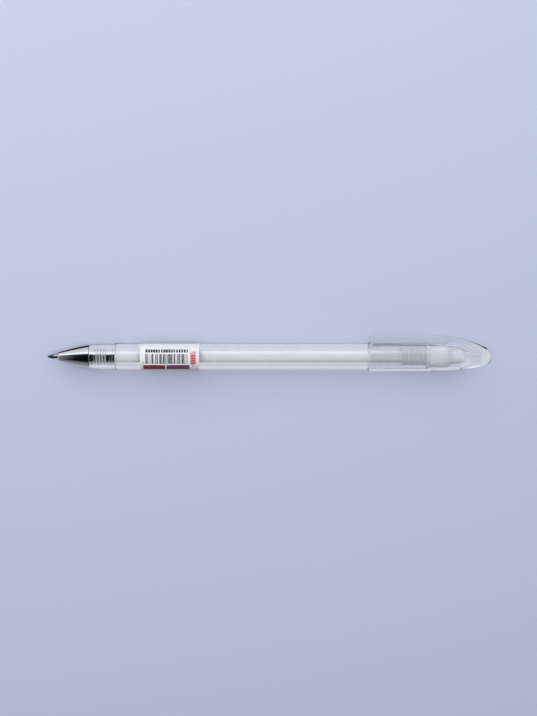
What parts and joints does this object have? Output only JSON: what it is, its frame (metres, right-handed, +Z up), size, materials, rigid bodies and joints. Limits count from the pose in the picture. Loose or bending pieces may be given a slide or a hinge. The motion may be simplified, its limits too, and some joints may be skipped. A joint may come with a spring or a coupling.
{
  "type": "ballpoint pen",
  "caption": "Slim clear-barrelled ballpoint pen with a metal nose cone, white refill tube, paper label and a clear clip cap posted on its rear end.",
  "frame": {"origin": "on the ground under the middle of the pen as it lies, at the bottom centre of its bounding box", "axes": "+X along the pen from the writing point to the closed end of the cap, +Z up, clip towards +Y and down"},
  "size_m": [0.148, 0.0116, 0.01],
  "materials": {
    "clear_barrel": "clear polished polystyrene",
    "clear_cap": "clear polished polystyrene",
    "plated_cone": "nickel plated and polished",
    "point_metal": "turned nickel silver",
    "ball_metal": "ground hard metal",
    "white_tube": "opaque white, smooth",
    "holder_plastic": "natural moulded",
    "ink": "dark blue writing paste",
    "plug_plastic": "translucent white, satin",
    "label_paper": "thin coated paper"
  },
  "bodies": {
    "pen": {"barrel": "clear_barrel", "nose_cone": "plated_cone", "writing_point": "point_metal", "refill_tube": "white_tube", "tip_holder": "holder_plastic", "ink_fill": "ink", "end_plug": "plug_plastic", "price_label": "label_paper"},
    "cap": {"cap": "clear_cap"},
    "ball": {"ball": "ball_metal"}
  },
  "joints": [
    {"name": "cap_pull", "type": "slide", "parent": "pen", "child": "cap", "axis": [1, 0, 0], "range_m": [0, 0.04]},
    {"name": "ball_roll", "type": "hinge", "parent": "pen", "child": "ball", "pos_m": [-0.07368, -0.00082, 0.005], "axis": [0, 1, 0], "continuous": true}
  ]
}
